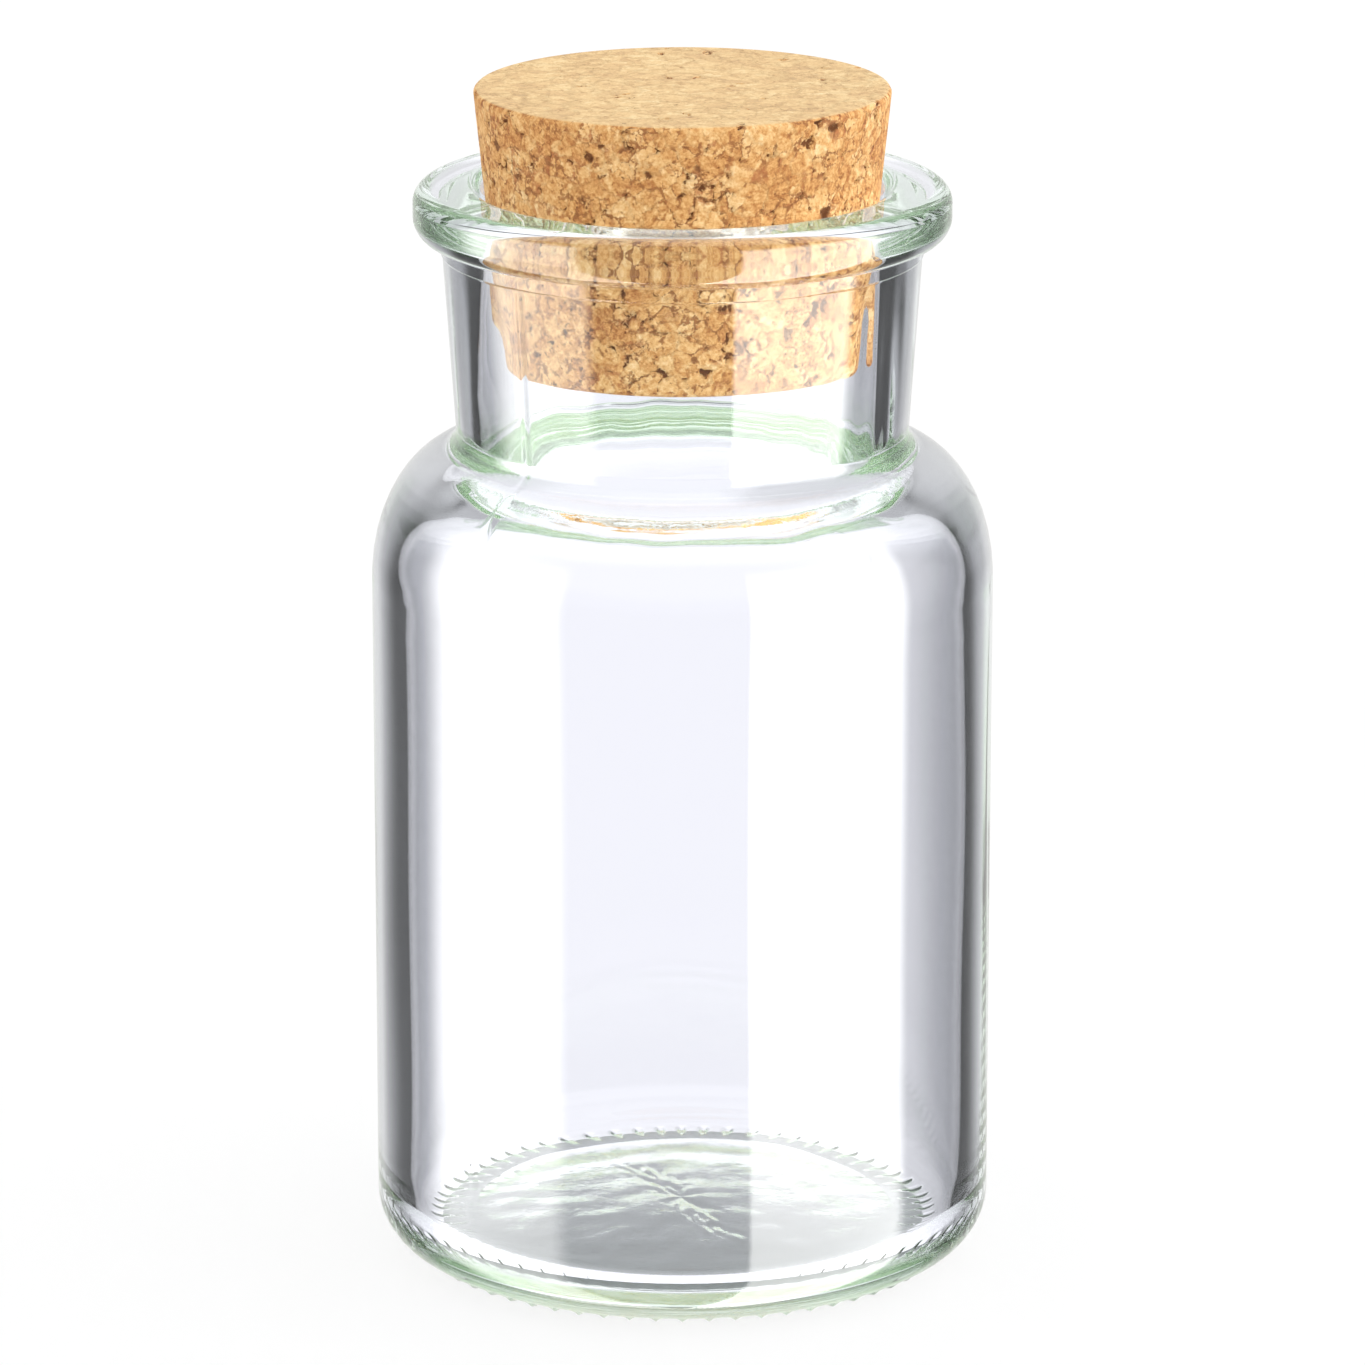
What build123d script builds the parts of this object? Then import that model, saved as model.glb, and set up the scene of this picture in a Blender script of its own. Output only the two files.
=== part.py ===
"""Glass storage jar with a push-in cork stopper.

Two separate pieces: a clear pressed glass jar, wide in the body and narrow in
the neck, and a tapered stopper of agglomerated cork that wedges in its mouth.
Millimetres, +Z up. The origin is on the table, on the jar's axis.
"""
import os
from math import radians, tan

from build123d import *

# Jar body
body_diameter = 59.0
body_wall = 3.0
heel_radius = 5.2             # outside round between wall and base
inner_heel_radius = 3.8       # inside round between wall and floor

# Jar base
floor_thickness = 3.1         # glass under the floor, at the foot of the wall
floor_crown = 1.3             # how far the floor rises in the middle
push_up = 2.2                 # how far the underside is arched up in the middle
bearing_width = 3.4           # flat ring that carries the jar
rib_count = 64                # short radial ribs under the bearing ring
rib_width = 0.8
rib_height = 0.35
rib_wrap_angle = 42.0         # degrees of the heel's round that each rib climbs
rib_root = 0.4                # how deep a rib is rooted in the base

# Shoulder
shoulder_rise = 12.7          # height of the outer shoulder curve
shoulder_wall = 3.6           # glass over the top of the hollow
shoulder_blend = 2.0          # hollow round between shoulder and neck
throat_radius = 3.2           # round between the bore and the inside of the shoulder

# Neck, collar and lip
jar_height = 104.2            # table to the top of the lip
neck_height = 25.1            # top of the shoulder to the top of the lip
neck_wall_top = 3.9
neck_wall_foot = 3.15
collar_rise = 1.5             # low band under the lip, where the mould's ring closed
collar_step = 0.15
lip_height = 5.0
lip_overhang = 2.6            # how far the lip stands out of the collar
lip_under_radius = 2.1
lip_top_radius = 1.6

# Mouth and bore
mouth_diameter = 37.4         # bore where the cork wedges
mouth_edge_radius = 1.8       # round between the lip's top and the bore
bore_draft = 0.55             # radius that the bore loses from the mouth to the throat

# Cork stopper
cork_height = 25.5
cork_stand_out = 9.3          # how far the cork stands above the lip
cork_taper = 5.85             # degrees between the cork's side and its axis
cork_edge_radius = 0.4
seat_clearance = 0.2          # gap all round between cork and bore at the seat

# Jar section, worked out from the sizes above
body_radius = body_diameter / 2
inner_radius = body_radius - body_wall
base_z = rib_height
heel_ring_radius = body_radius - heel_radius
bearing_inner_radius = heel_ring_radius - bearing_width
floor_z = base_z + floor_thickness
floor_ring_radius = inner_radius - inner_heel_radius

mouth_radius = mouth_diameter / 2
seat_z = jar_height - mouth_edge_radius
throat_bore_radius = mouth_radius - bore_draft
neck_top_radius = mouth_radius + neck_wall_top
neck_foot_radius = throat_bore_radius + neck_wall_foot
collar_radius = neck_top_radius + collar_step
lip_radius = collar_radius + lip_overhang
lip_bottom_z = jar_height - lip_height
collar_bottom_z = lip_bottom_z - collar_rise
shoulder_top_z = jar_height - neck_height
wall_top_z = shoulder_top_z - shoulder_rise
throat_z = shoulder_top_z - shoulder_wall

# One rib: a thin upright plate that follows the bearing ring and the heel
with BuildPart() as foot_rib:
    with BuildSketch(Plane.XZ):
        with BuildLine():
            foot = Line((bearing_inner_radius, base_z - rib_height), (heel_ring_radius, base_z - rib_height))
            climb = CenterArc(
                (heel_ring_radius, base_z + heel_radius), heel_radius + rib_height, -90, rib_wrap_angle
            )
            root = CenterArc(
                (heel_ring_radius, base_z + heel_radius), heel_radius - rib_root, -90, rib_wrap_angle
            )
            Line(climb @ 1, root @ 1)
            Line(root @ 0, (bearing_inner_radius, base_z + rib_root))
            Line((bearing_inner_radius, base_z + rib_root), foot @ 0)
        make_face()
    extrude(amount=rib_width / 2, both=True)

# The jar: one section turned round the axis, with the ribs under its base
with BuildPart() as glass_jar:
    with BuildSketch(Plane.XZ) as jar_section:
        with BuildLine():
            # Underside, heel, wall and shoulder
            underside = TangentArc((0, base_z + push_up), (bearing_inner_radius, base_z), tangent=(1, 0))
            Line(underside @ 1, (heel_ring_radius, base_z))
            heel = CenterArc((heel_ring_radius, base_z + heel_radius), heel_radius, -90, 90)
            Line(heel @ 1, (body_radius, wall_top_z))
            shoulder = EllipticalCenterArc(
                (neck_foot_radius, wall_top_z), body_radius - neck_foot_radius, shoulder_rise, 0, arc_size=90
            )
            # Neck, collar and lip
            Polyline(
                shoulder @ 1,
                (neck_top_radius, collar_bottom_z),
                (collar_radius, collar_bottom_z + collar_step),
                (collar_radius, lip_bottom_z),
                (lip_radius - lip_under_radius, lip_bottom_z),
            )
            lip_under = CenterArc(
                (lip_radius - lip_under_radius, lip_bottom_z + lip_under_radius), lip_under_radius, -90, 90
            )
            lip_edge = CenterArc((lip_radius - lip_top_radius, jar_height - lip_top_radius), lip_top_radius, 0, 90)
            Line(lip_under @ 1, lip_edge @ 0)
            mouth_edge = CenterArc((mouth_radius + mouth_edge_radius, seat_z), mouth_edge_radius, 90, 90)
            Line(lip_edge @ 1, mouth_edge @ 0)
            # Bore, inside of the shoulder and wall, floor
            Line(mouth_edge @ 1, (throat_bore_radius, throat_z))
            hollow_top = EllipticalCenterArc(
                (throat_bore_radius, wall_top_z),
                inner_radius - throat_bore_radius,
                throat_z - wall_top_z,
                0,
                arc_size=90,
            )
            inner_heel = CenterArc(
                (floor_ring_radius, floor_z + inner_heel_radius), inner_heel_radius, -90, 90
            )
            Line(hollow_top @ 0, inner_heel @ 1)
            floor = TangentArc((0, floor_z + floor_crown), inner_heel @ 0, tangent=(1, 0))
            Line(floor @ 0, underside @ 0)
        make_face()
        neck_foot = jar_section.vertices().sort_by_distance((neck_foot_radius, shoulder_top_z))[0]
        fillet(neck_foot, radius=shoulder_blend)
        throat = jar_section.vertices().sort_by_distance((throat_bore_radius, throat_z))[0]
        fillet(throat, radius=throat_radius)
    revolve(axis=Axis.Z)
    with PolarLocations(0, rib_count):
        add(foot_rib.part)
glass_jar.part.label = "glass_jar"

# The stopper: a tapered plug that touches the bore just below the mouth's round
taper_slope = tan(radians(cork_taper))
cork_top_z = jar_height + cork_stand_out
cork_bottom_z = cork_top_z - cork_height
cork_seat_radius = mouth_radius - seat_clearance
cork_top_radius = cork_seat_radius + (cork_top_z - seat_z) * taper_slope
cork_bottom_radius = cork_seat_radius - (seat_z - cork_bottom_z) * taper_slope

with BuildPart() as cork_stopper:
    with BuildSketch(Plane.XZ):
        with BuildLine():
            Polyline(
                (0, cork_bottom_z),
                (cork_bottom_radius, cork_bottom_z),
                (cork_top_radius, cork_top_z),
                (0, cork_top_z),
                close=True,
            )
        make_face()
    revolve(axis=Axis.Z)
    fillet(cork_stopper.edges().filter_by(GeomType.CIRCLE), radius=cork_edge_radius)
cork_stopper.part.label = "cork_stopper"

os.makedirs("parts", exist_ok=True)
export_step(glass_jar.part, "parts/glass_jar.step")
export_step(cork_stopper.part, "parts/cork_stopper.step")
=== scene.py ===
"""A clear glass storage jar with a cork stopper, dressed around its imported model.

All sizes are metres, +Z is up, and the jar stands on the origin.
"""
import math

import bpy
import numpy as np
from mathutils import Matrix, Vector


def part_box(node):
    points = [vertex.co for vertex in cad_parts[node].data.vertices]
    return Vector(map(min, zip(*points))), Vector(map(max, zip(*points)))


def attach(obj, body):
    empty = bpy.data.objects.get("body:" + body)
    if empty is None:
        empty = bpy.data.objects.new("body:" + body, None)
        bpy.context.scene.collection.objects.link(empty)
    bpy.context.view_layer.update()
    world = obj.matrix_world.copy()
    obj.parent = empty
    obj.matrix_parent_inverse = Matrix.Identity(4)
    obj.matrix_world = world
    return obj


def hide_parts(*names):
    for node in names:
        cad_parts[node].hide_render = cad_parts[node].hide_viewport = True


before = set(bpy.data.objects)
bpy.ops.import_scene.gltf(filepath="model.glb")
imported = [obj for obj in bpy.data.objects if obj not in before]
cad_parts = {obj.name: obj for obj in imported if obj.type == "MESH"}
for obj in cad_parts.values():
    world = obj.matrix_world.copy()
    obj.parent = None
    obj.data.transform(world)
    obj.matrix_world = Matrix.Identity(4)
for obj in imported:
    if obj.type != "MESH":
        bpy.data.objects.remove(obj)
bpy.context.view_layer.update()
MM = 0.001


# The jar is one piece of clear soda-lime glass, blown in a two-part mould. The mould
# gives it its smooth outside, a seam up each side and a ring of short ribs under the
# base; the inside is only shaped by the air, so its wall and floor are slightly uneven.
jar_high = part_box("glass_jar")[1]
JAR_HEIGHT = jar_high.z
BODY_RADIUS = jar_high.x
WALL = 3.0 * MM
HEEL_RADIUS = 5.2 * MM
INNER_HEEL_RADIUS = 3.8 * MM
FLOOR_THICKNESS = 3.1 * MM
FLOOR_CROWN = 1.3 * MM
PUSH_UP = 2.2 * MM
BEARING_WIDTH = 3.4 * MM
SHOULDER_RISE = 12.7 * MM
SHOULDER_WALL = 3.6 * MM
SHOULDER_BLEND = 2.0 * MM
THROAT_ROUND = 3.2 * MM
NECK_HEIGHT = 25.1 * MM
NECK_WALL_TOP = 3.9 * MM
NECK_WALL_FOOT = 3.15 * MM
COLLAR_RISE = 1.5 * MM
COLLAR_STEP = 0.15 * MM
LIP_HEIGHT = 5.0 * MM
LIP_OVERHANG = 2.6 * MM
LIP_UNDER_ROUND = 2.1 * MM
LIP_TOP_ROUND = 1.6 * MM
MOUTH_RADIUS = 18.7 * MM
MOUTH_EDGE = 1.8 * MM
BORE_DRAFT = 0.55 * MM
RIB_COUNT = 64
RIB_HEIGHT = 0.35 * MM
RIB_HALF_WIDTH = 0.55 * MM
RIB_INSET = 0.6 * MM
RIB_CLIMB = math.radians(26)

base_z = RIB_HEIGHT
heel_ring = BODY_RADIUS - HEEL_RADIUS
bearing_inner = heel_ring - BEARING_WIDTH
inner_radius = BODY_RADIUS - WALL
floor_z = base_z + FLOOR_THICKNESS
floor_ring = inner_radius - INNER_HEEL_RADIUS
shoulder_top = JAR_HEIGHT - NECK_HEIGHT
wall_top = shoulder_top - SHOULDER_RISE
throat_z = shoulder_top - SHOULDER_WALL
throat_bore = MOUTH_RADIUS - BORE_DRAFT
neck_top = MOUTH_RADIUS + NECK_WALL_TOP
neck_foot = throat_bore + NECK_WALL_FOOT
collar_radius = neck_top + COLLAR_STEP
lip_radius = collar_radius + LIP_OVERHANG
lip_bottom = JAR_HEIGHT - LIP_HEIGHT
collar_bottom = lip_bottom - COLLAR_RISE

POINTS_PER_STRETCH = 400
SAME_POINT = 1e-7
CORNER_STEPS = 3


def arc(centre_r, centre_z, radius_r, radius_z, start, end):
    """Points (r, z) on an ellipse about a centre, from one angle to another, in degrees."""
    angle = np.radians(np.linspace(start, end, POINTS_PER_STRETCH))
    return np.stack([centre_r + radius_r * np.cos(angle), centre_z + radius_z * np.sin(angle)], axis=1)


def run(start, end):
    """Points (r, z) on a straight line, its two ends included."""
    share = np.linspace(0, 1, POINTS_PER_STRETCH)[:, None]
    return np.array(start) * (1 - share) + np.array(end) * share


def crown(rim_r, rim_z, rise):
    """A shallow dome from the axis out to its rim: z falls with the square of the radius."""
    radius = np.linspace(0, rim_r, POINTS_PER_STRETCH)
    return np.stack([radius, rim_z + rise * (1 - (radius / rim_r) ** 2)], axis=1)


def sideways(points):
    """The unit normal at each point of an outline, to the right of its way."""
    along = np.gradient(points, axis=0)
    normal = np.stack([along[:, 1], -along[:, 0]], axis=1)
    return normal / np.linalg.norm(normal, axis=1)[:, None]


def rounded(first, second, radius):
    """Two stretches that meet in a corner, with an arc of a radius in it. The arc's centre is where
    the two stretches cross once each is moved sideways by the radius, so the arc touches both."""
    moved_first = first + radius * sideways(first)
    moved_second = second + radius * sideways(second)
    gap = np.linalg.norm(moved_first[:, None] - moved_second[None, :], axis=2)
    i, j = np.unravel_index(gap.argmin(), gap.shape)
    centre = (moved_first[i] + moved_second[j]) / 2
    start, end = (np.arctan2(*(point - centre)[::-1]) for point in (first[i], second[j]))
    turn = (end - start + math.pi) % (2 * math.pi) - math.pi
    size = abs(radius)
    bend = arc(*centre, size, size, math.degrees(start), math.degrees(start + turn))
    return np.concatenate([first[:i], bend, second[j + 1 :]])


def spaced(points, lengths, angle):
    """An outline with fewer points. From each to the next it runs on by at most the length given there
    and turns by at most an angle: equal steps of the sum of way / length and turn / angle. A sharp
    corner counts for a few steps only."""
    way = np.linalg.norm(np.diff(points, axis=0), axis=1)
    kept = np.concatenate([[True], way > SAME_POINT])
    points = points[kept]
    step = np.diff(points, axis=0)
    way = np.linalg.norm(step, axis=1)
    heading = np.unwrap(np.arctan2(step[:, 1], step[:, 0]))
    turn = np.abs(np.diff(heading, prepend=heading[0])) / math.radians(angle)
    measure = np.concatenate([[0], np.cumsum(way / lengths[kept][1:] + np.minimum(turn, CORNER_STEPS))])
    places = np.linspace(0, measure[-1], math.ceil(measure[-1]) + 1)
    return np.stack([np.interp(places, measure, points[:, axis]) for axis in (0, 1)], axis=1)


def turned_mesh(name, radius, height, azimuth):
    """A closed surface of revolution. radius and height are grids, with rows along the outline and
    columns round the axis. The first and last rows shrink to one point each on the axis, where a fan
    of triangles closes them."""
    rows, columns = radius.shape
    ring = np.stack([radius * np.cos(azimuth), radius * np.sin(azimuth), height], axis=-1)
    poles = np.array([[0, 0, height[0].mean()], [0, 0, height[-1].mean()]])
    vertices = np.concatenate([ring[1:-1].reshape(-1, 3), poles])
    index = np.arange((rows - 2) * columns).reshape(rows - 2, columns)
    beside = np.roll(index, -1, axis=1)
    quads = np.stack([index[:-1], beside[:-1], beside[1:], index[1:]], axis=-1).reshape(-1, 4)
    first, last = len(vertices) - 2, len(vertices) - 1
    start_fan = np.stack([beside[0], index[0], np.full(columns, first)], axis=-1)
    end_fan = np.stack([index[-1], beside[-1], np.full(columns, last)], axis=-1)
    corners = np.concatenate([quads.ravel(), start_fan.ravel(), end_fan.ravel()])
    sizes = np.concatenate([np.full(len(quads), 4), np.full(2 * columns, 3)])
    mesh = bpy.data.meshes.new(name)
    mesh.vertices.add(len(vertices))
    mesh.vertices.foreach_set("co", vertices.astype(np.float32).ravel())
    mesh.loops.add(len(corners))
    mesh.loops.foreach_set("vertex_index", corners.astype(np.int32))
    mesh.polygons.add(len(sizes))
    mesh.polygons.foreach_set("loop_start", np.concatenate([[0], np.cumsum(sizes)[:-1]]).astype(np.int32))
    mesh.update(calc_edges=True)
    mesh.validate()
    mesh.shade_smooth()
    piece = bpy.data.objects.new(name, mesh)
    bpy.context.scene.collection.objects.link(piece)
    return piece


def on_grid(outline, azimuth):
    """The radius and height of an outline's points as columns, and their places (x, y, z) on the whole
    surface of revolution."""
    r, z = outline[:, :1], outline[:, 1:]
    return r, z, np.stack([r * np.cos(azimuth), r * np.sin(azimuth), z + 0 * azimuth], axis=-1)


def uneven(points, size, seed, count=12):
    """A smooth random field in space, about -1 to 1: the mean of plane waves cos(k . p + phase) in all
    directions, with wavelengths about size."""
    draw = np.random.default_rng(seed)
    k = draw.normal(size=(3, count))
    k *= 2 * math.pi / (size * draw.uniform(0.6, 1.6, count)) / np.linalg.norm(k, axis=0)
    return np.cos(points @ k + draw.uniform(0, 2 * math.pi, count)).sum(axis=-1) / math.sqrt(count)


def ramp(values, low, high):
    """0 below low and 1 above high, with a smooth step 3 t^2 - 2 t^3 between."""
    t = np.clip((values - low) / (high - low), 0, 1)
    return t * t * (3 - 2 * t)


def fade(values, low, high):
    """1 below low and 0 above high."""
    return 1 - ramp(values, low, high)


shoulder = arc(neck_foot, wall_top, BODY_RADIUS - neck_foot, SHOULDER_RISE, 0, 90)
neck = run((neck_foot, shoulder_top), (neck_top, collar_bottom))
hollow_top = arc(throat_bore, wall_top, inner_radius - throat_bore, throat_z - wall_top, 90, 0)
bore = run((MOUTH_RADIUS, JAR_HEIGHT - MOUTH_EDGE), (throat_bore, throat_z))
lip_under_ring = lip_radius - LIP_UNDER_ROUND
outside = np.concatenate([
    crown(bearing_inner, base_z, PUSH_UP),
    run((bearing_inner, base_z), (heel_ring, base_z)),
    arc(heel_ring, base_z + HEEL_RADIUS, HEEL_RADIUS, HEEL_RADIUS, -90, 0),
    run((BODY_RADIUS, base_z + HEEL_RADIUS), (BODY_RADIUS, wall_top)),
    rounded(shoulder, neck, SHOULDER_BLEND),
    run((neck_top, collar_bottom), (collar_radius, collar_bottom + COLLAR_STEP)),
    run((collar_radius, collar_bottom + COLLAR_STEP), (collar_radius, lip_bottom)),
    run((collar_radius, lip_bottom), (lip_under_ring, lip_bottom)),
    arc(lip_under_ring, lip_bottom + LIP_UNDER_ROUND, LIP_UNDER_ROUND, LIP_UNDER_ROUND, -90, 0),
    arc(lip_radius - LIP_TOP_ROUND, JAR_HEIGHT - LIP_TOP_ROUND, LIP_TOP_ROUND, LIP_TOP_ROUND, 0, 90),
])
inside = np.concatenate([
    arc(MOUTH_RADIUS + MOUTH_EDGE, JAR_HEIGHT - MOUTH_EDGE, MOUTH_EDGE, MOUTH_EDGE, 90, 180),
    rounded(bore, hollow_top, -THROAT_ROUND),
    run((inner_radius, wall_top), (inner_radius, floor_z + INNER_HEEL_RADIUS)),
    arc(floor_ring, floor_z + INNER_HEEL_RADIUS, INNER_HEEL_RADIUS, INNER_HEEL_RADIUS, 0, -90),
    crown(floor_ring, floor_z, FLOOR_CROWN)[::-1],
])

# The mesh has close rows where it carries ribs, waves or a scar, and by the collar's small step
STEPS_ROUND = 7 * RIB_COUNT
ROW_TURN = 9
RIB_ROW = 0.35 * MM
ARCH_ROW = 0.9 * MM
COLLAR_ROW = 0.4 * MM
OUTSIDE_ROW = 5.0 * MM
INSIDE_ROW = 4.0 * MM
FLOOR_ROW = 1.0 * MM
COLLAR_MARGIN = 0.6 * MM
FLOOR_MARGIN = 0.1 * MM
rib_top = base_z + HEEL_RADIUS * (1 - math.cos(RIB_CLIMB))
out_r, out_z = outside.T
on_ribs = (out_z <= rib_top) & (out_r >= heel_ring - RIB_INSET)
on_arch = (out_z < floor_z) & (out_r < bearing_inner)
by_collar = (out_z > collar_bottom - COLLAR_MARGIN) & (out_z <= lip_bottom) & (out_r < lip_radius)
on_floor = inside[:, 1] < floor_z + FLOOR_CROWN + FLOOR_MARGIN
outside_rows = np.select([on_ribs, on_arch, by_collar], [RIB_ROW, ARCH_ROW, COLLAR_ROW], OUTSIDE_ROW)
outside = spaced(outside, outside_rows, ROW_TURN)
inside = spaced(inside, np.where(on_floor, FLOOR_ROW, INSIDE_ROW), ROW_TURN)
outline = np.concatenate([outside, inside])
normal = sideways(outline)
is_inside = (np.arange(len(outline)) >= len(outside))[:, None]
azimuth = np.linspace(0, 2 * math.pi, STEPS_ROUND, endpoint=False)[None, :]
r, z, points = on_grid(outline, azimuth)

# The ribs: short round ridges square to the bearing ring, that climb the heel and die out
rib_place = (azimuth * RIB_COUNT / (2 * math.pi) + 0.5) % 1 - 0.5
rib_distance = np.abs(rib_place) * 2 * math.pi / RIB_COUNT * r
rib_section = np.cos(np.clip(rib_distance / RIB_HALF_WIDTH, 0, 1) * math.pi / 2) ** 2
heel_angle = np.arccos(np.clip(1 - (z - base_z) / HEEL_RADIUS, -1, 1))
rib_reach = ramp(r, heel_ring - RIB_INSET, heel_ring - RIB_INSET / 3)
rib_reach = rib_reach * fade(heel_angle, RIB_CLIMB / 2, RIB_CLIMB)
push = RIB_HEIGHT * rib_section * np.where(is_inside | (z > rib_top), 0, rib_reach)

# The mould seam, a fine ridge up both sides of everything below the collar, stronger on the shoulder
SEAM_AZIMUTH = math.radians(-132)
SEAM_HEIGHT = 0.10 * MM
SEAM_HALF_WIDTH = 0.25 * MM
SEAM_LOW_SHARE = 0.25
SEAM_GROWTH = 12 * MM
seam_distance = np.abs((azimuth - SEAM_AZIMUTH + math.pi / 2) % math.pi - math.pi / 2) * r
on_seam = ~is_inside & (z > base_z + HEEL_RADIUS) & (z < collar_bottom)
seam_share = SEAM_LOW_SHARE + (1 - SEAM_LOW_SHARE) * ramp(z, wall_top - SEAM_GROWTH, wall_top)
push = push + SEAM_HEIGHT * seam_share * np.exp(-((seam_distance / SEAM_HALF_WIDTH) ** 2)) * on_seam

# The walls' waves, drawn out upward: faint on the moulded outside, more inside, none by the wedged cork
DRAWN_OUT = np.array([1, 1, 0.3])
OUTSIDE_WAVE = 0.015 * MM
OUTSIDE_WAVE_LENGTH = 11 * MM
INSIDE_WAVE = 0.035 * MM
INSIDE_WAVE_LENGTH = 13 * MM
WALL_WAVE_FOOT = (4 * MM, 16 * MM)
WEDGE_FADE = 10 * MM
wall_share = ramp(z, *WALL_WAVE_FOOT) * fade(z, collar_bottom - WEDGE_FADE, collar_bottom)
drawn = points * DRAWN_OUT
push = push + ~is_inside * wall_share * OUTSIDE_WAVE * uneven(drawn, OUTSIDE_WAVE_LENGTH, seed=3)
push = push + is_inside * wall_share * INSIDE_WAVE * uneven(drawn, INSIDE_WAVE_LENGTH, seed=5)

# Shorter waves inside the throat and the neck, where the glass cooled first
THROAT_WAVE = 0.03 * MM
THROAT_WAVE_LENGTH = 6 * MM
THROAT_BAND = (1.5 * MM, 3.5 * MM)
THROAT_WIDTH = (21 * MM, 23 * MM)
NECK_WAVE = 0.05 * MM
NECK_WAVE_LENGTH = 4.5 * MM
NECK_WAVE_BELOW = 2 * MM
NECK_WAVE_ABOVE = 3 * MM
NECK_WAVE_FADE = 4 * MM
throat_share = fade(np.abs(z - throat_z), *THROAT_BAND) * fade(r, *THROAT_WIDTH)
push = push + is_inside * throat_share * THROAT_WAVE * uneven(points, THROAT_WAVE_LENGTH, seed=15, count=24)
neck_share = ramp(z, shoulder_top - NECK_WAVE_BELOW, shoulder_top + NECK_WAVE_ABOVE)
neck_share = neck_share * fade(z, collar_bottom - NECK_WAVE_FADE, collar_bottom)
push = push + is_inside * neck_share * NECK_WAVE * uneven(drawn, NECK_WAVE_LENGTH, seed=17, count=16)

# Waves and finer ripples on the floor and under it, none where the jar stands
FLOOR_WAVE = 0.06 * MM
FLOOR_WAVE_LENGTH = 8 * MM
FLOOR_RIPPLE = 0.018 * MM
FLOOR_RIPPLE_LENGTH = 3.5 * MM
FLOOR_WAVE_RIM = (17 * MM, 21 * MM)
ARCH_WAVE = 0.05 * MM
ARCH_WAVE_LENGTH = 6 * MM
ARCH_RIPPLE = 0.025 * MM
ARCH_RIPPLE_LENGTH = 2.5 * MM
ARCH_FADE = 4 * MM
ARCH_TOP = (3 * MM, 5 * MM)
floor_share = fade(z, floor_z + FLOOR_CROWN, floor_z + 2 * FLOOR_CROWN) * fade(r, *FLOOR_WAVE_RIM)
push = push + is_inside * floor_share * FLOOR_WAVE * uneven(points, FLOOR_WAVE_LENGTH, seed=8)
push = push + is_inside * floor_share * FLOOR_RIPPLE * uneven(points, FLOOR_RIPPLE_LENGTH, seed=9, count=24)
arch_share = ~is_inside * fade(z, *ARCH_TOP) * fade(r, bearing_inner - ARCH_FADE, bearing_inner)
push = push + arch_share * ARCH_WAVE * uneven(points, ARCH_WAVE_LENGTH, seed=12)
push = push + arch_share * ARCH_RIPPLE * uneven(points, ARCH_RIPPLE_LENGTH, seed=13, count=24)

# The shear scar: a rough welt across the middle of the underside, where the hot gob was cut off
SCAR_HEIGHT = 0.18 * MM
SCAR_ROUGHNESS = 0.24 * MM
SCAR_CRUMPLE_LENGTH = 1.6 * MM
SCAR_HALF_WIDTH = 1.5 * MM
SCAR_HALF_LENGTH = 15.0 * MM
SCAR_TURN = math.radians(-25)
along = points[..., 0] * math.sin(SCAR_TURN) + points[..., 1] * math.cos(SCAR_TURN)
across = points[..., 0] * math.cos(SCAR_TURN) - points[..., 1] * math.sin(SCAR_TURN)
scar_share = np.exp(-((across / SCAR_HALF_WIDTH) ** 2))
scar_share = scar_share * fade(np.abs(along), SCAR_HALF_LENGTH / 2, SCAR_HALF_LENGTH)
crumple = SCAR_HEIGHT + SCAR_ROUGHNESS * uneven(points, SCAR_CRUMPLE_LENGTH, seed=14, count=32)
push = push + arch_share * scar_share * crumple

jar = turned_mesh("jar", r + push * normal[:, :1], z + push * normal[:, 1:], azimuth)
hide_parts("glass_jar")
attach(jar, "jar")


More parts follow.
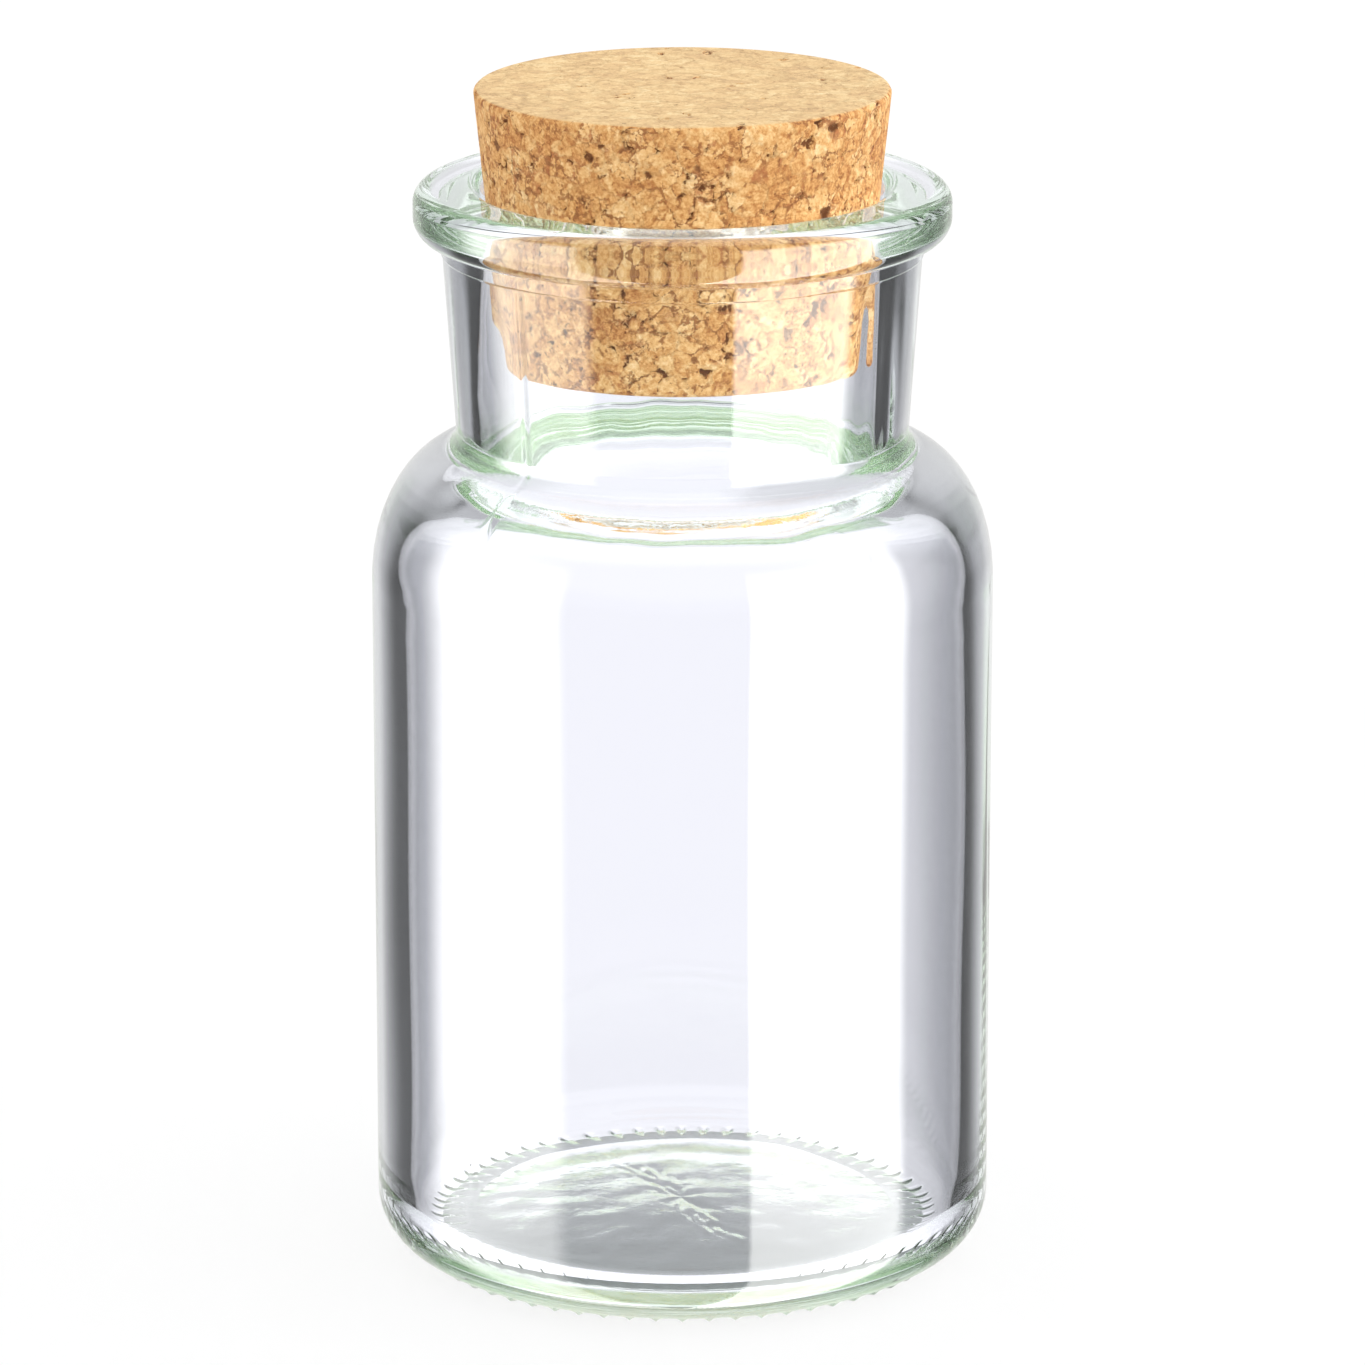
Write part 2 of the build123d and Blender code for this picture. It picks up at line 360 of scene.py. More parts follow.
class Socket:
    """One output in a node tree. Arithmetic on it adds Math nodes, so shader maths reads as plain sums."""

    def __init__(self, tree, output=None):
        self.tree = tree
        self.output = output

    def node(self, kind, settings=(), inputs=(), output=0):
        """Adds a node of a kind. Its settings, or a ramp's stops, are set first, then the values or
        links of its sockets."""
        made = self.tree.nodes.new(kind)
        for name, value in dict(settings).items():
            if name == "stops":
                ramp_stops = made.color_ramp.elements
                while len(ramp_stops) < len(value):
                    ramp_stops.new(0.5)
                for stop, (place, colour) in zip(ramp_stops, value):
                    stop.position = place
                    stop.color = (*colour, 1.0)
            else:
                setattr(made, name, value)
        for name, value in dict(inputs).items():
            if isinstance(value, Socket):
                self.tree.links.new(value.output, made.inputs[name])
            else:
                made.inputs[name].default_value = value
        return Socket(self.tree, made.outputs[output])

    def other(self, name):
        """Another output of the same node."""
        return Socket(self.tree, self.output.node.outputs[name])

    def maths(self, operation, *values):
        return self.node("ShaderNodeMath", {"operation": operation}, enumerate(values))

    def __add__(self, other):
        return self.maths("ADD", self, other)

    def __sub__(self, other):
        return self.maths("SUBTRACT", self, other)

    def __rsub__(self, other):
        return self.maths("SUBTRACT", other, self)

    def __mul__(self, other):
        return self.maths("MULTIPLY", self, other)

    __radd__ = __add__
    __rmul__ = __mul__

    def smooth(self, low, high):
        """0 at low and 1 at high, with a smooth step between."""
        return self.node(
            "ShaderNodeMapRange",
            {"interpolation_type": "SMOOTHSTEP"},
            {"Value": self, "From Min": low, "From Max": high},
        )

    def swing(self, share):
        """A value of 0 to 1 turned into one of -share / 2 to share / 2."""
        return (self - 0.5) * share

    def within(self, start, stop):
        """1 between two soft edges and 0 outside them. Each edge is where this is 0, then where it is 1."""
        return self.smooth(*start) * self.smooth(*stop)

    def mix(self, first, second):
        """The first colour where this is 0, the second where it is 1."""
        return self.node("ShaderNodeMix", {"data_type": "RGBA"}, {0: self, 6: first, 7: second}, output=2)

    def part(self, name):
        """One component of a vector, X, Y or Z."""
        return self.node("ShaderNodeSeparateXYZ", (), {0: self}, name)

    def length(self):
        """The length of a vector."""
        return self.node("ShaderNodeVectorMath", {"operation": "LENGTH"}, {0: self}, "Value")

    def noise(self, per_mm, detail, roughness=0.5):
        """Noise over a position, with so many features to the millimetre."""
        settings = {"Vector": self, "Scale": per_mm / MM, "Detail": detail, "Roughness": roughness}
        return self.node("ShaderNodeTexNoise", (), settings)


def new_material(name):
    """An empty material: the material, its tree as a Socket, and a function that links its outputs."""
    material = bpy.data.materials.new(name)
    material.use_nodes = True
    material.node_tree.nodes.clear()
    out = material.node_tree.nodes.new("ShaderNodeOutputMaterial")

    def finish(surface, volume=None):
        material.node_tree.links.new(surface.output, out.inputs["Surface"])
        if volume:
            material.node_tree.links.new(volume.output, out.inputs["Volume"])

    return material, Socket(material.node_tree), finish


# Clear glass that is green where it is thick, and faintly grained in the base and the throat.
# Where the upright wall turns away from the eye its colour is greyed: a painted shade for the glass's dark
# edges.
WHITE = (1, 1, 1, 1)
GLASS_IOR = 1.52
GLASS_TINT = (0.46, 0.72, 0.38, 1.0)
GLASS_TINT_DENSITY = 8.0
EDGE_PAINTED_SHADE = (0.52, 0.53, 0.55, 1)
SLANT_START = (0.34, 0.66)
SLANT_END = (0.83, 0.74)
UPRIGHT_EDGE = (0.75, 0.45)
GRAIN_DEPTH = 0.05 * MM
GRAIN_PER_MM = 1.1
GRAIN_BASE_EDGE = 3 * MM
GRAIN_BASE_TOP = (7 * MM, 6 * MM)
GRAIN_THROAT_EDGE = 0.4 * MM
GRAIN_THROAT_REACH = 5 * MM
GRAIN_THROAT_FULL = 3 * MM
THROAT_GRAIN_SHARE = 0.3

glass, make, finish_glass = new_material("clear_jar_glass")
place = make.node("ShaderNodeTexCoord", output="Object")
level = place.part("Z")
reach = make.node("ShaderNodeVectorMath", {"operation": "MULTIPLY"}, {0: place, 1: (1, 1, 0)}).length()
in_base = reach.smooth(bearing_inner, bearing_inner - GRAIN_BASE_EDGE) * level.smooth(*GRAIN_BASE_TOP)
in_throat = reach.smooth(neck_foot, neck_foot - GRAIN_THROAT_EDGE) * level.within(
    (throat_z - GRAIN_THROAT_REACH, throat_z - GRAIN_THROAT_FULL),
    (throat_z + GRAIN_THROAT_REACH, throat_z + GRAIN_THROAT_FULL),
)
grain = place.noise(GRAIN_PER_MM, 3.0, 0.6) * (in_base + in_throat * THROAT_GRAIN_SHARE)
skin = make.node("ShaderNodeBump", (), {"Strength": 1.0, "Distance": GRAIN_DEPTH, "Height": grain})
slant = make.node("ShaderNodeLayerWeight", (), {"Blend": 0.5}, "Facing")
tilt = make.node("ShaderNodeNewGeometry", output="True Normal").part("Z")
upright = tilt.maths("ABSOLUTE", tilt).smooth(*UPRIGHT_EDGE)
# Painted shade: the upright wall's colour greys where it is seen edge-on, in place of the dark edges of real
# glass
painted_edge_share = slant.within(SLANT_START, SLANT_END) * upright
finish_glass(
    make.node(
        "ShaderNodeBsdfPrincipled",
        (),
        {
            "Base Color": painted_edge_share.mix(WHITE, EDGE_PAINTED_SHADE),
            "Roughness": 0.0,
            "IOR": GLASS_IOR,
            "Transmission Weight": 1.0,
            "Normal": skin,
        },
    ),
    make.node("ShaderNodeVolumeAbsorption", (), {"Color": GLASS_TINT, "Density": GLASS_TINT_DENSITY}),
)
jar.data.materials.append(glass)


# The stopper is agglomerated cork: chips of bark pressed together with glue, then ground
# to a taper. The grinding cuts the chips flat, so that their grain and tone change from
# chip to chip. Small pits stay open where chips meet, and the sanded top is closed.
cork_low, cork_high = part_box("cork_stopper")
CORK_TOP_RADIUS = 19.63 * MM
CORK_BOTTOM_RADIUS = 17.02 * MM
CORK_EDGE = 0.5 * MM
CORK_STEPS_ROUND = 540
CORK_ROW_TURN = 15
CORK_TOP_ROW = 0.5 * MM
CORK_SIDE_ROW = 0.24 * MM
CORK_BOTTOM_ROW = 1.4 * MM
FLAT_MARGIN = 0.01 * MM

cork_side = run((CORK_BOTTOM_RADIUS, cork_low.z), (CORK_TOP_RADIUS, cork_high.z))
cork_outline = rounded(run((0, cork_low.z), (CORK_BOTTOM_RADIUS, cork_low.z)), cork_side, -CORK_EDGE)
cork_outline = rounded(cork_outline, run((CORK_TOP_RADIUS, cork_high.z), (0, cork_high.z)), -CORK_EDGE)
on_top = cork_outline[:, 1] > cork_high.z - FLAT_MARGIN
on_bottom = cork_outline[:, 1] < cork_low.z + FLAT_MARGIN
cork_rows = np.select([on_top, on_bottom], [CORK_TOP_ROW, CORK_BOTTOM_ROW], CORK_SIDE_ROW)
cork_outline = spaced(cork_outline, cork_rows, CORK_ROW_TURN)
cork_normal = sideways(cork_outline)
cork_azimuth = np.linspace(0, 2 * math.pi, CORK_STEPS_ROUND, endpoint=False)[None, :]
r, z, points = on_grid(cork_outline, cork_azimuth)

# The chips: a place, an axis to be stretched along, a weight that makes them large, a tone and a hue
# each. Only those near the skin are kept.
CHIP_SPACING = 2.0 * MM
CHIP_SEED = 11
MOST_STRETCH = 0.75
MOST_WEIGHT = 1.2
SHELL = 3.0 * MM
OUTSIDE_SHELL = 0.5 * MM
draw = np.random.default_rng(CHIP_SEED)
box_low = np.array([-CORK_TOP_RADIUS, -CORK_TOP_RADIUS, cork_low.z])
box_high = np.array([CORK_TOP_RADIUS, CORK_TOP_RADIUS, cork_high.z])
chips = draw.uniform(box_low, box_high, (int(np.prod(box_high - box_low) / CHIP_SPACING**3), 3))
chip_r = np.hypot(chips[:, 0], chips[:, 1])
side_r = np.interp(chips[:, 2], cork_side[:, 1], cork_side[:, 0])
near_ends = (chips[:, 2] > cork_high.z - SHELL) | (chips[:, 2] < cork_low.z + SHELL)
chips = chips[(chip_r < side_r + OUTSIDE_SHELL) & ((chip_r > side_r - SHELL) | near_ends)]
chip_axis = draw.normal(size=(len(chips), 3))
chip_axis /= np.linalg.norm(chip_axis, axis=1)[:, None]
chip_stretch = chip_axis * np.sqrt(draw.uniform(0.0, MOST_STRETCH, len(chips)))[:, None]
chip_weight = draw.uniform(0, MOST_WEIGHT, len(chips)) ** 2
chip_tone = draw.uniform(0, 1, len(chips))
chip_hue = draw.uniform(0, 1, len(chips))


def nearest_chips(places, centres, stretch, weights, batch=4000):
    """For each place the number of its nearest chip, and how much further off the second and the third
    one are. A chip is stretched along its own axis: its squared distance is |d|^2 less the square of
    d's share along stretch, less its weight."""
    order = np.empty(len(places), int)
    further = np.empty((len(places), 2))
    fixed = (centres**2).sum(axis=1) - weights
    for start in range(0, len(places), batch):
        some = places[start : start + batch]
        along = some @ stretch.T - (centres * stretch).sum(axis=1)
        squared = (some**2).sum(axis=1)[:, None] - 2 * some @ centres.T + fixed - along**2
        three = np.argpartition(squared, 3, axis=1)[:, :3]
        away = np.sqrt(np.maximum(np.take_along_axis(squared, three, axis=1), 0))
        rank = np.argsort(away, axis=1)
        order[start : start + batch] = np.take_along_axis(three, rank, axis=1)[:, 0]
        away = np.take_along_axis(away, rank, axis=1)
        further[start : start + batch] = away[:, 1:] - away[:, :1]
    return order, further


# Where the chips meet: seams that wander, with pits at their corners and crevices along them. The side
# is open, more so in patches. The ends are closed by sanding.
BEND = 0.30 * MM
BEND_LENGTH = 2.4 * MM
CRINKLE = 0.12 * MM
CRINKLE_LENGTH = 0.9 * MM
PATCH_LENGTH = 4 * MM
PATCHINESS = 0.6
SPOT_LENGTH = 1.5 * MM
SPOTTINESS = 0.7
SIDE_OPENNESS = 0.25
GROUND_SLOPE = (0.3, 0.9)
PIT_DEPTH = 0.40 * MM
PIT_GAP = 0.36
PIT_OPENNESS = (0.1, 0.7)
CREVICE_DEPTH = 0.05 * MM
CREVICE_GAP = 0.25
CREVICE_OPENNESS = (-0.4, 0.6)
CHIP_STEP = 0.03 * MM
cork_centre = np.array([0, 0, (cork_low.z + cork_high.z) / 2])
warp = np.stack([uneven(points, BEND_LENGTH, seed) for seed in (21, 22, 23)], axis=-1) * BEND
warp += np.stack([uneven(points, CRINKLE_LENGTH, seed) for seed in (24, 25, 26)], axis=-1) * CRINKLE
in_mm = ((points + warp - cork_centre) / MM).reshape(-1, 3)
chip, further = nearest_chips(in_mm, (chips - cork_centre) / MM, chip_stretch, chip_weight)
chip = chip.reshape(r.shape[0], -1)
seam_gap, corner_gap = (further[:, k].reshape(chip.shape) for k in (0, 1))
ground_side = ramp(cork_normal[:, :1], *GROUND_SLOPE)
openness = SIDE_OPENNESS - (1 - ground_side)
openness = openness + PATCHINESS * uneven(points, PATCH_LENGTH, seed=31)
openness = openness + SPOTTINESS * uneven(points, SPOT_LENGTH, seed=32)
pit = fade(corner_gap, 0.0, PIT_GAP) * ramp(openness, *PIT_OPENNESS)
crevice = fade(seam_gap, 0.0, CREVICE_GAP) * ramp(openness, *CREVICE_OPENNESS)
sunk = -PIT_DEPTH * pit - (CREVICE_DEPTH * crevice + CHIP_STEP * chip_tone[chip]) * ground_side
cork = turned_mesh("cork", r + sunk * cork_normal[:, :1], z + sunk * cork_normal[:, 1:], cork_azimuth)


def on_vertices(grid):
    """A grid of values in the order of a turned mesh's vertices: its inner rows, then the means of its
    end rows."""
    ends = np.stack([grid[0].mean(axis=0), grid[-1].mean(axis=0)])
    return np.concatenate([grid[1:-1].reshape(-1, *grid.shape[2:]), ends]).astype(np.float32)


chip_marks = cork.data.attributes.new("chip", "FLOAT_COLOR", "POINT")
chip_looks = np.stack([chip_tone[chip], chip_hue[chip], seam_gap, corner_gap], axis=-1)
chip_marks.data.foreach_set("color", on_vertices(chip_looks).ravel())
chip_grain = cork.data.attributes.new("grain", "FLOAT_VECTOR", "POINT")
chip_grain.data.foreach_set("vector", on_vertices(chip_axis[chip]).ravel())
opening = cork.data.attributes.new("openness", "FLOAT", "POINT")
opening.data.foreach_set("value", on_vertices(openness).ravel())

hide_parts("cork_stopper")
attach(cork, "cork")

CORK_SHADES = (
    (0.00, (0.25, 0.075, 0.020)),
    (0.25, (0.47, 0.200, 0.060)),
    (0.45, (0.64, 0.335, 0.115)),
    (0.65, (0.76, 0.470, 0.200)),
    (1.00, (0.92, 0.700, 0.400)),
)
SANDED_SHADE = (0.68, 0.560, 0.325, 1)
SANDED_SLOPE = (0.7, 0.95)
SANDED_SHARE = 0.5

cork_material, make, finish_cork = new_material("agglomerated_cork")
place = make.node("ShaderNodeTexCoord", output="Object")
look = make.node("ShaderNodeAttribute", {"attribute_name": "chip"}, (), "Color")
corner = look.other("Alpha")
tone = make.node("ShaderNodeSeparateColor", (), {"Color": look}, "Red")
hue = tone.other("Green")
seam = tone.other("Blue")
axis = make.node("ShaderNodeAttribute", {"attribute_name": "grain"}, (), "Vector")
opened = make.node("ShaderNodeAttribute", {"attribute_name": "openness"}, (), "Fac")
sanded = make.node("ShaderNodeNewGeometry", output="True Normal").part("Z").smooth(*SANDED_SLOPE)

# The chips' own patterns: crumbs, streaks across the grain, and flakes with bent outlines
CORK_ROUGHNESS = 0.6
CRUMBS_PER_MM = 1.6
FINE_PER_MM = 4.0
BROAD_PER_MM = 0.16
WOBBLES_PER_MM = 0.7
STREAKS_PER_MM = 2.2
STREAK_WOBBLE = 3.5
FLAKES_PER_MM = 0.75
FLAKE_BEND = 1.2 * MM
crumb = place.noise(CRUMBS_PER_MM, 3.0, CORK_ROUGHNESS)
fine = place.noise(FINE_PER_MM, 2.0, CORK_ROUGHNESS)
broad = place.noise(BROAD_PER_MM, 2.0)
wobble = place.noise(WOBBLES_PER_MM, 3.0)
across = make.node("ShaderNodeVectorMath", {"operation": "DOT_PRODUCT"}, {0: place, 1: axis}, "Value")
streaks = {
    "W": across * (STREAKS_PER_MM / MM) + wobble * STREAK_WOBBLE,
    "Scale": 1.0,
    "Detail": 2.0,
    "Roughness": CORK_ROUGHNESS,
}
streak = make.node("ShaderNodeTexNoise", {"noise_dimensions": "1D"}, streaks)
shifts = {0: wobble.other("Color"), "Scale": FLAKE_BEND}
shift = make.node("ShaderNodeVectorMath", {"operation": "SCALE"}, shifts)
bent = make.node("ShaderNodeVectorMath", {"operation": "ADD"}, {0: place, 1: shift})
flakes = {"Vector": bent, "Scale": FLAKES_PER_MM / MM}
flake = make.node("ShaderNodeTexVoronoi", (), flakes, "Color")
flake = make.node("ShaderNodeSeparateColor", (), {"Color": flake}, "Red")
web = make.node("ShaderNodeTexVoronoi", {"feature": "DISTANCE_TO_EDGE"}, flakes, "Distance")

# The shade is the middle of the scale, moved by a share of each pattern
shade_shares = ((tone, 0.20), (flake, 0.26), (streak, 0.55), (crumb, 0.85), (fine, 0.65), (broad, 0.35))
shade = 0.5 + sum(pattern.swing(share) for pattern, share in shade_shares)
cork_colour = make.node("ShaderNodeValToRGB", {"stops": CORK_SHADES}, {"Fac": shade})
cork_colour = (sanded * SANDED_SHARE).mix(cork_colour, SANDED_SHADE)

# Rusty glue along some seams, in patches, and dark cracks between flakes, in others
RUST = (0.42, 0.150, 0.055, 1)
RUST_SHARE = 0.75
RUST_WIDTH = 0.45
RUST_PATCHES_PER_MM = 0.30
RUST_PATCH_EDGE = (0.46, 0.66)
CRACK = (0.30, 0.120, 0.040, 1)
CRACK_SHARE = 0.9
CRACK_WIDTH = 0.09
CRACK_PATCHES_PER_MM = 0.6
CRACK_PATCH_EDGE = (0.44, 0.60)
SANDED_AWAY_SHARE = 0.7
rusty = (place.noise(RUST_PATCHES_PER_MM, 2.0) + hue.swing(0.3)).smooth(*RUST_PATCH_EDGE) * (1 - sanded)
rust = (seam + crumb.swing(1.6) + fine.swing(0.5)).smooth(RUST_WIDTH, 0.0) * rusty
cork_colour = (rust * RUST_SHARE).mix(cork_colour, RUST)
cracked = place.noise(CRACK_PATCHES_PER_MM, 2.0).smooth(*CRACK_PATCH_EDGE) * (1 - sanded * SANDED_AWAY_SHARE)
crack = (web + fine.swing(0.3) + crumb.swing(0.5)).smooth(CRACK_WIDTH, 0.0) * cracked
cork_colour = (crack * CRACK_SHARE).mix(cork_colour, CRACK)

# The open pits and seams are dark, with ragged edges, and so are specks of bark
PIT_COLOUR = (0.17, 0.062, 0.020, 1)
PIT_EDGE = (0.27, 0.14)
PIT_OPENED = (0.10, 0.40)
SEAM_EDGE = (0.09, 0.02)
SEAM_OPENED = (0.1, 0.5)
SEAM_DARKNESS = 0.85
SPECK_EDGE = (0.39, 0.33)
SPECK_OPENED = (-0.3, 0.4)
SPECK_DARKNESS = 0.7
ragged = crumb.swing(0.5) + fine.swing(0.25)
open_pit = (corner + ragged).smooth(*PIT_EDGE) * (opened + ragged).smooth(*PIT_OPENED)
open_seam = (seam + ragged * 0.5).smooth(*SEAM_EDGE) * (opened + ragged).smooth(*SEAM_OPENED)
speck = (crumb * 0.6 + fine * 0.4).smooth(*SPECK_EDGE) * opened.smooth(*SPECK_OPENED)
dark = open_pit.maths("MAXIMUM", open_pit, open_seam * SEAM_DARKNESS)
dark = dark.maths("MAXIMUM", dark, speck * SPECK_DARKNESS)
cork_colour = dark.mix(cork_colour, PIT_COLOUR)

# Some of the patterns stand out, and the dark ones lie deep
CORK_RELIEF = 0.12 * MM
relief_shares = ((crumb, 0.8), (streak, 0.7), (fine, 0.3), (flake, 0.4), (dark, -0.8), (crack, -0.4))
relief = sum(pattern * share for pattern, share in relief_shares)
cork_bump = make.node("ShaderNodeBump", (), {"Strength": 0.6, "Distance": CORK_RELIEF, "Height": relief})
finish_cork(
    make.node(
        "ShaderNodeBsdfPrincipled",
        (),
        {"Base Color": cork_colour, "Roughness": 0.8, "Specular IOR Level": 0.3, "Normal": cork_bump},
    )
)
cork.data.materials.append(cork_material)


# The setting is a pale table in a white studio. The table takes the light and the shadow. Through
# the glass, the table under the hollow of the base is a painted shadow: a dim glowing disc in place of the
# jar's own shade.
TABLE_HALF = 3.0
TABLE_GREY = (0.80, 0.80, 0.80, 1)
TABLE_SEEN_SHARE = 0.8
table_mesh = bpy.data.meshes.new("table")
table_corners = [(-TABLE_HALF, -TABLE_HALF, 0), (TABLE_HALF, -TABLE_HALF, 0)]
table_corners += [(TABLE_HALF, TABLE_HALF, 0), (-TABLE_HALF, TABLE_HALF, 0)]
table_mesh.from_pydata(table_corners, [], [(0, 1, 2, 3)])
table = bpy.data.objects.new("table", table_mesh)
bpy.context.scene.collection.objects.link(table)
table.visible_glossy = False
table.visible_transmission = False
table_material, make, finish_table = new_material("pale_table")
table_matt = make.node("ShaderNodeBsdfDiffuse", (), {"Color": TABLE_GREY})
table_glow = make.node("ShaderNodeEmission", (), {"Color": WHITE, "Strength": 1.0})
seen = make.node("ShaderNodeLightPath", output="Is Camera Ray")
finish_table(make.node("ShaderNodeMixShader", (), {0: seen * TABLE_SEEN_SHARE, 1: table_matt, 2: table_glow}))
table_mesh.materials.append(table_material)

# A painted shadow: a disc of dim glow just above the table, seen only by rays through the glass
SHADE_HEIGHT = 0.02 * MM
SHADE_CORNERS = 96
SHADE_GLOW = 0.22
SHADE_EDGE_GLOW = 0.06
SHADE_EDGE_START = bearing_inner * 0.7
SHADE_COLOUR = (0.88, 0.97, 0.98, 1)
shade_mesh = bpy.data.meshes.new("painted_table_shade")
shade_ring = np.linspace(0, 2 * math.pi, SHADE_CORNERS, endpoint=False)
shade_mesh.from_pydata(
    [(heel_ring * math.cos(angle), heel_ring * math.sin(angle), SHADE_HEIGHT) for angle in shade_ring],
    [],
    [list(range(SHADE_CORNERS))],
)
painted_table_shade = bpy.data.objects.new("painted_table_shade", shade_mesh)
bpy.context.scene.collection.objects.link(painted_table_shade)
painted_table_shade.visible_camera = False
painted_table_shade.visible_diffuse = False
painted_table_shade.visible_glossy = False
painted_table_shade.visible_shadow = False
shade_material, make, finish_shade = new_material("painted_table_shadow")
shade_reach = make.node("ShaderNodeTexCoord", output="Object").length()
shade_glow = SHADE_GLOW + shade_reach.smooth(SHADE_EDGE_START, heel_ring) * SHADE_EDGE_GLOW
finish_shade(make.node("ShaderNodeEmission", (), {"Color": SHADE_COLOUR, "Strength": shade_glow}))
shade_mesh.materials.append(shade_material)

# The studio, by the direction that a ray leaves in. turn is 0 straight behind the jar and 90 to its
# right, rise is 0 at the horizon and aside is the angle from straight behind, all in degrees. An edge
# of something is two such angles: where it is 0 and where it is full.
world = bpy.data.worlds.new("studio")
bpy.context.scene.world = world
world.use_nodes = True
world.node_tree.nodes.clear()
make = Socket(world.node_tree)
right = make.node("ShaderNodeTexCoord", output="Generated").part("X")
away = right.other("Y")
up = right.other("Z")
degrees = 180 / math.pi
turn = right.maths("ARCTAN2", right, away) * degrees
rise = up.maths("ARCSINE", up) * degrees
aside = away.maths("ARCCOSINE", away) * degrees
around = turn.maths("ABSOLUTE", turn)
seen = make.node("ShaderNodeLightPath", output="Is Camera Ray")
looked_through = seen.other("Is Transmission Ray")
crossings = seen.other("Transmission Depth")
turned_back = seen.other("Glossy Depth")

# What shows by way of one reflection inside the wall: a bright screen with a dimmer level band, dark
# at both sides
SCREEN_GLOW = 1.27
BAND_FOOT = (-31, -23)
BAND_TOP = (50, 34)
BAND_DIMMING = 0.77
DARK_START = (24, 42)
DARK_SOFTENED = (60, 80)
DARK_SOFTENED_SHARE = 0.2
DARK_TOP = (30, 24)
DARK_SHARE = 0.95
dark_sides = aside.smooth(*DARK_START) * (1 - aside.smooth(*DARK_SOFTENED) * DARK_SOFTENED_SHARE)
dark_sides = dark_sides * rise.within(BAND_FOOT, DARK_TOP)
through_wall = (SCREEN_GLOW - rise.within(BAND_FOOT, BAND_TOP) * BAND_DIMMING) * (1 - dark_sides * DARK_SHARE)

# What shows straight through the jar: the screen with a dimmer middle and a grey card on each side, and
# a little brighter where the light has turned back often inside the lip or the base
BEHIND_FOOT = (-44, -30)
BEHIND_TOP = (14, -2)
BEHIND_DIMMING = 0.26
RIGHT_CARD = (2, 8), (60, 40)
RIGHT_CARD_SHARE = 0.25
LEFT_CARD = (-9, -16), (-60, -40)
LEFT_CARD_SHARE = 0.12
GLEAM_SHARE = 0.15
behind = rise.within(BEHIND_FOOT, BEHIND_TOP)
cards = turn.within(*RIGHT_CARD) * RIGHT_CARD_SHARE + turn.within(*LEFT_CARD) * LEFT_CARD_SHARE
gleam = 1 + turned_back.smooth(1.0, 3.0) * crossings.smooth(3.0, 4.0) * GLEAM_SHARE
through_jar = (SCREEN_GLOW - behind * BEHIND_DIMMING) * (1 - cards * behind) * gleam
in_wall = (1 - crossings.smooth(2.0, 3.0)) * turned_back.within((0.0, 1.0), (2.0, 1.0))
screen = in_wall * through_wall + (1 - in_wall) * through_jar

# What the glass mirrors: two tall lights in front of it, the left one weaker low down, and the room
RIGHT_LIGHT = (86, 94), (156, 153)
RIGHT_LIGHT_GLOW = 8.5
LEFT_LIGHT = (-138, -128), (-66, -86)
LEFT_LIGHT_GLOW = 4.9
LEFT_LIGHT_HIGH_GLOW = 2.1
LEFT_LIGHT_LOW_EDGE = (-20, -18)
LIGHT_TOP = (36, 10)
MIRRORED_SCREEN = (50, 22)
MIRRORED_SCREEN_GLOW = 0.6
ROOM_GLOW = 0.27
left_glow = rise.smooth(*LEFT_LIGHT_LOW_EDGE) * LEFT_LIGHT_HIGH_GLOW + LEFT_LIGHT_GLOW
lights = turn.within(*RIGHT_LIGHT) * RIGHT_LIGHT_GLOW + turn.within(*LEFT_LIGHT) * left_glow
room = around.smooth(*MIRRORED_SCREEN) * MIRRORED_SCREEN_GLOW + ROOM_GLOW
mirrored = lights * rise.smooth(*LIGHT_TOP) + room

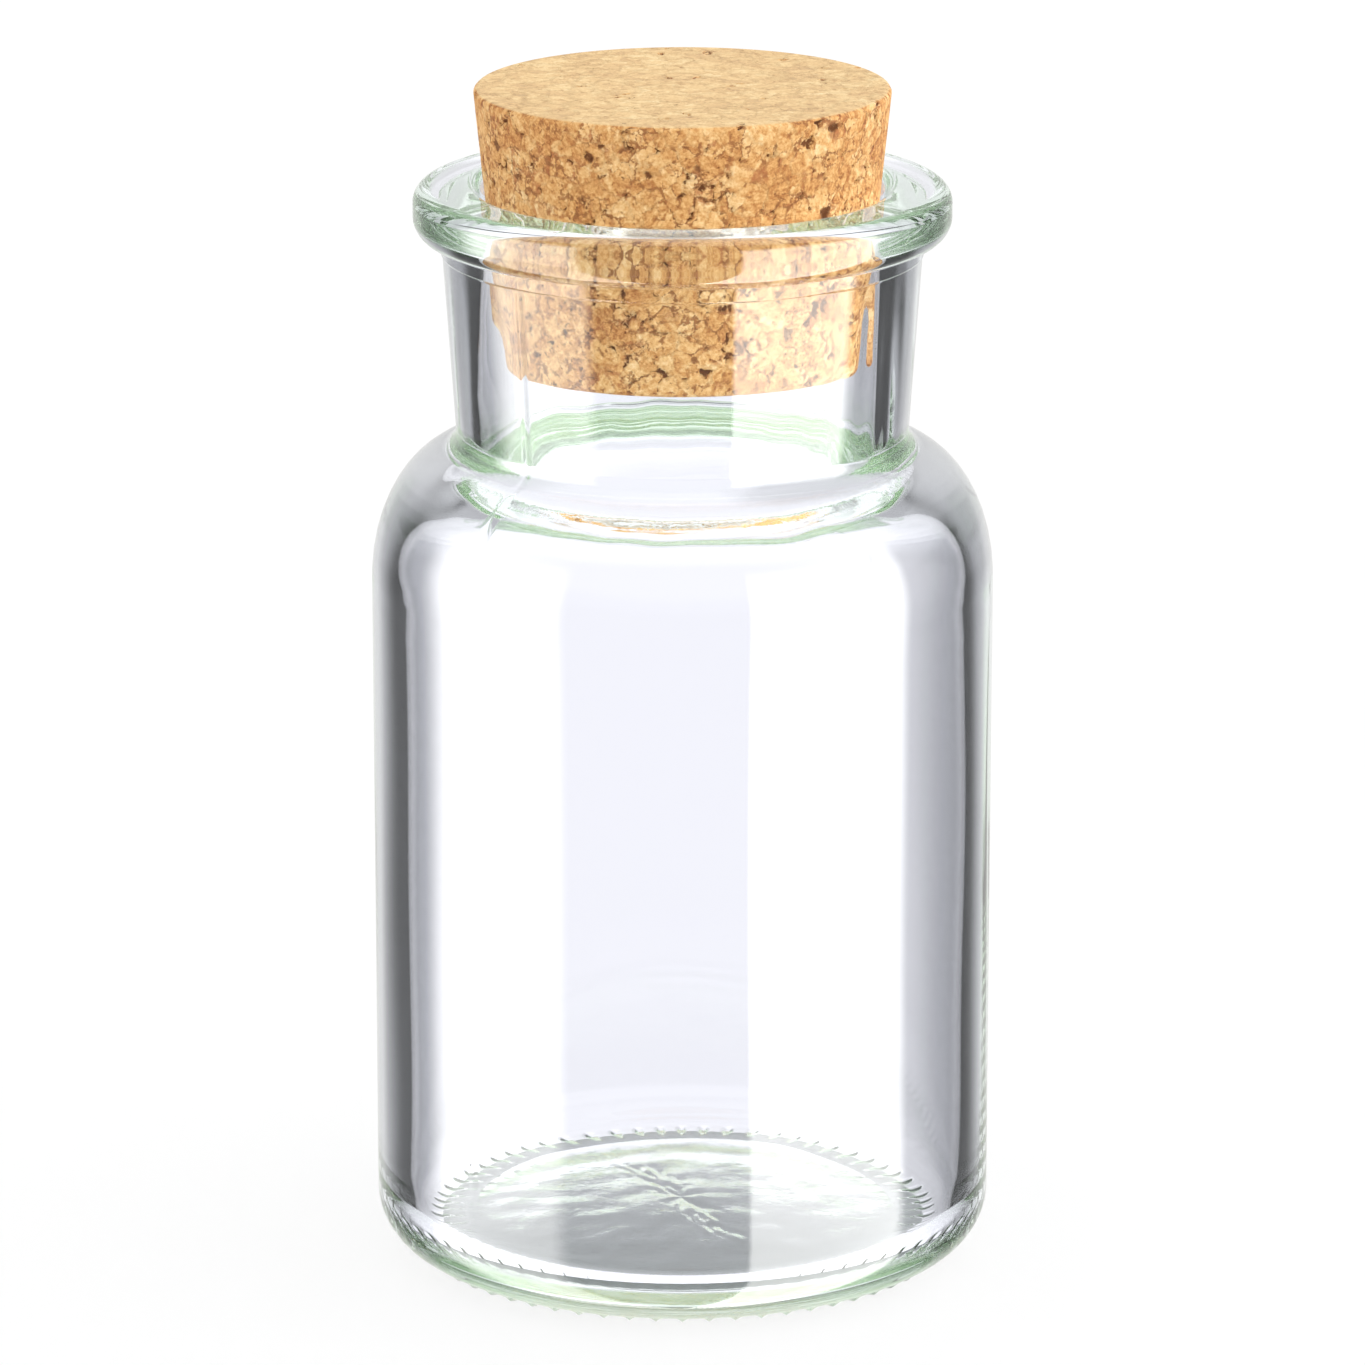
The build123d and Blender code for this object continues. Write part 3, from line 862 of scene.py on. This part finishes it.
# The light on the cork and the table: soft daylight, stronger from the right and from above, and
# stronger through the glass, which takes some of it
DAYLIGHT = 0.96
DAYLIGHT_RIGHT = 1.35
DAYLIGHT_ABOVE = 0.32
RIGHT_START = 0.2
THROUGH_GLASS_SHARE = 1.0
daylight = DAYLIGHT + right.smooth(RIGHT_START, 1.0) * DAYLIGHT_RIGHT + up.smooth(0.0, 1.0) * DAYLIGHT_ABOVE
daylight = daylight * (1 + crossings.smooth(0.0, 1.0) * THROUGH_GLASS_SHARE)

MIRRORED_TINT = (1, 1, 0.97, 1)
SCREEN_TINT = (0.985, 0.98, 1.08, 1)
in_glass = looked_through * screen + (1 - looked_through) * mirrored
glass_tint = looked_through.mix(MIRRORED_TINT, SCREEN_TINT)
scattered = seen.other("Diffuse Depth").smooth(0.0, 1.0)
from_glass = seen.other("Is Glossy Ray") * (1 - scattered)
glass_sees = make.node("ShaderNodeBackground", (), {"Color": glass_tint, "Strength": in_glass})
open_light = make.node("ShaderNodeBackground", (), {"Color": WHITE, "Strength": daylight})
backdrop = make.node("ShaderNodeBackground", (), {"Color": WHITE, "Strength": 1.0})
studio = make.node("ShaderNodeMixShader", (), {0: from_glass, 1: open_light, 2: glass_sees})
world_look = make.node("ShaderNodeMixShader", (), {0: seen, 1: studio, 2: backdrop})
world_out = world.node_tree.nodes.new("ShaderNodeOutputWorld")
make.tree.links.new(world_look.output, world_out.inputs["Surface"])

# The camera: a long lens, 15.5 degrees above the horizontal
CAMERA_DISTANCE = 0.761
CAMERA_RISE = math.radians(15.5)
CAMERA_AIM_Z = 55.6 * MM
LENS_MM = 210.25
SENSOR_MM = 36.0
camera_data = bpy.data.cameras.new("camera")
camera_data.lens = LENS_MM
camera_data.sensor_width = SENSOR_MM
camera_data.clip_start = 0.01
camera_data.clip_end = 20.0
camera = bpy.data.objects.new("camera", camera_data)
bpy.context.scene.collection.objects.link(camera)
camera_y = -CAMERA_DISTANCE * math.cos(CAMERA_RISE)
camera.location = (0, camera_y, CAMERA_AIM_Z + CAMERA_DISTANCE * math.sin(CAMERA_RISE))
camera.rotation_euler = (math.pi / 2 - CAMERA_RISE, 0, 0)
bpy.context.scene.camera = camera
bpy.context.scene.view_settings.view_transform = "Standard"

# Light bounces many times inside the thick glass of the lip and the base
bpy.context.scene.cycles.max_bounces = 48
bpy.context.scene.cycles.glossy_bounces = 40
bpy.context.scene.cycles.transmission_bounces = 48
